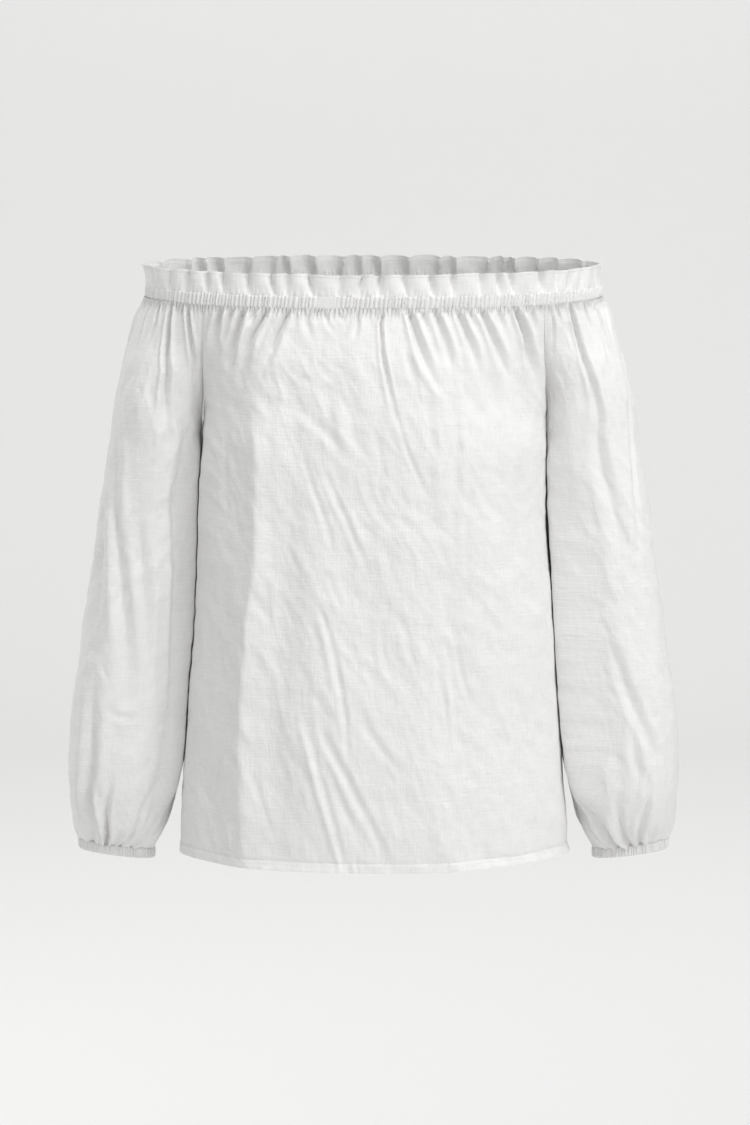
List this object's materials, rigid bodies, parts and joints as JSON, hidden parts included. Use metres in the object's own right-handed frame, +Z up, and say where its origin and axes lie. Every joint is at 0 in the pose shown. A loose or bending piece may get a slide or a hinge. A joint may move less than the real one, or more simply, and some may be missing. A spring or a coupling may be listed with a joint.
{
  "type": "off-shoulder top",
  "caption": "White linen off-shoulder top with an elastic gathered neck under a standing frill, full long sleeves with elastic cuffs, and an open straight hem.",
  "frame": {"origin": "middle of the neck elastic, at the centre of the neck opening at the height of the neck casing", "axes": "+X to the right seen from the front, which is the wearer's left side; the front faces -Y; +Z up out of the neck opening"},
  "size_m": [0.5678, 0.27, 0.5604],
  "materials": {
    "body_linen": "plain woven linen, matt, lightly creased",
    "frill_linen": "plain woven linen with a narrow stitched edge, matt",
    "casing_linen": "plain woven linen puckered over elastic, matt"
  },
  "bodies": {
    "root": {"neck_frill": "frill_linen", "neck_casing": "casing_linen", "front_panel": "body_linen", "back_panel": "body_linen", "sleeve_right": "body_linen", "sleeve_left": "body_linen", "cuff_right": "casing_linen", "cuff_left": "casing_linen"}
  },
  "joints": []
}
